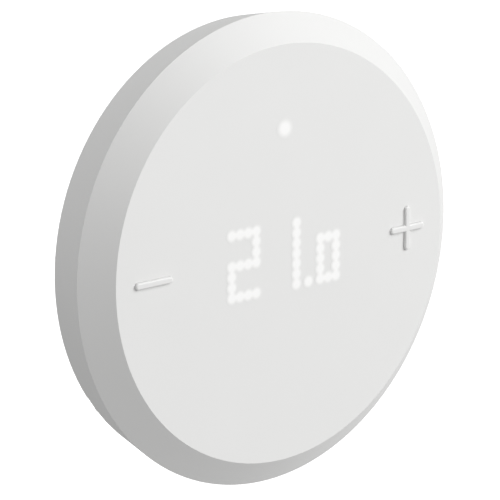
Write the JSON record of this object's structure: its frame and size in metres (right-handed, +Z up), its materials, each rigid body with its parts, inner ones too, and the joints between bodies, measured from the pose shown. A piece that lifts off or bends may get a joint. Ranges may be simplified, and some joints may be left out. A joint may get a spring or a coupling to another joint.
{
  "type": "wall thermostat",
  "caption": "Round white wall thermostat with a chamfered face, a dot display behind the cover, raised plus and minus keys and a plug-on wall plate with wire terminals.",
  "frame": {"origin": "middle of the wall plate's back face, on the wall", "axes": "+Z up the wall, -Y out into the room, +X to the right as seen from the room"},
  "size_m": [0.1, 0.0206, 0.1],
  "materials": {
    "white_plastic": "fine satin moulding",
    "plate_plastic": "matt moulding",
    "shade_plastic": "matt moulding",
    "film": "milky film",
    "led": "clear-topped light chip",
    "board": "green solder resist",
    "chip": "matt moulding compound",
    "capacitor": "ochre moulding compound",
    "ferrite": "sintered ferrite",
    "sensor": "matt moulding compound",
    "can": "plated can",
    "switch": "matt moulding",
    "plunger": "matt moulding",
    "connector": "matt moulding",
    "terminal": "grey moulding",
    "brass": "bright",
    "steel": "zinc plated",
    "spring_steel": "bright stainless strip"
  },
  "bodies": {
    "wall_base": {"wall_plate": "plate_plastic", "grip_springs": "spring_steel", "base_board": "board", "base_board_screws": "steel", "terminal_block": "terminal", "terminal_clamps": "brass", "terminal_screws": "steel", "pin_socket": "connector"},
    "front_unit": {"front_cover": "white_plastic", "rear_housing": "white_plastic", "housing_screws": "steel", "main_board": "board", "light_shade": "shade_plastic", "diffuser_film": "film", "display_leds": "led", "status_led": "led", "plus_switch": "switch", "minus_switch": "switch", "microcontroller": "chip", "led_driver": "chip", "bus_transceiver": "chip", "crystal": "can", "buffer_capacitors": "capacitor", "power_inductor": "ferrite", "temperature_sensor": "sensor", "header_body": "connector", "header_pins": "brass"},
    "plus_button": {"plus_key": "white_plastic", "plus_plunger": "plunger"},
    "minus_button": {"minus_key": "white_plastic", "minus_plunger": "plunger"}
  },
  "joints": [
    {"name": "front_pull", "type": "slide", "parent": "wall_base", "child": "front_unit", "axis": [0, -1, 0], "range_m": [0, 0.008]},
    {"name": "plus_press", "type": "slide", "parent": "front_unit", "child": "plus_button", "axis": [0, 1, 0], "range_m": [0, 0.00035], "stiffness_N_per_m": 1500, "springref_m": -0.0003},
    {"name": "minus_press", "type": "slide", "parent": "front_unit", "child": "minus_button", "axis": [0, 1, 0], "range_m": [0, 0.00035], "stiffness_N_per_m": 1500, "springref_m": -0.0003}
  ]
}
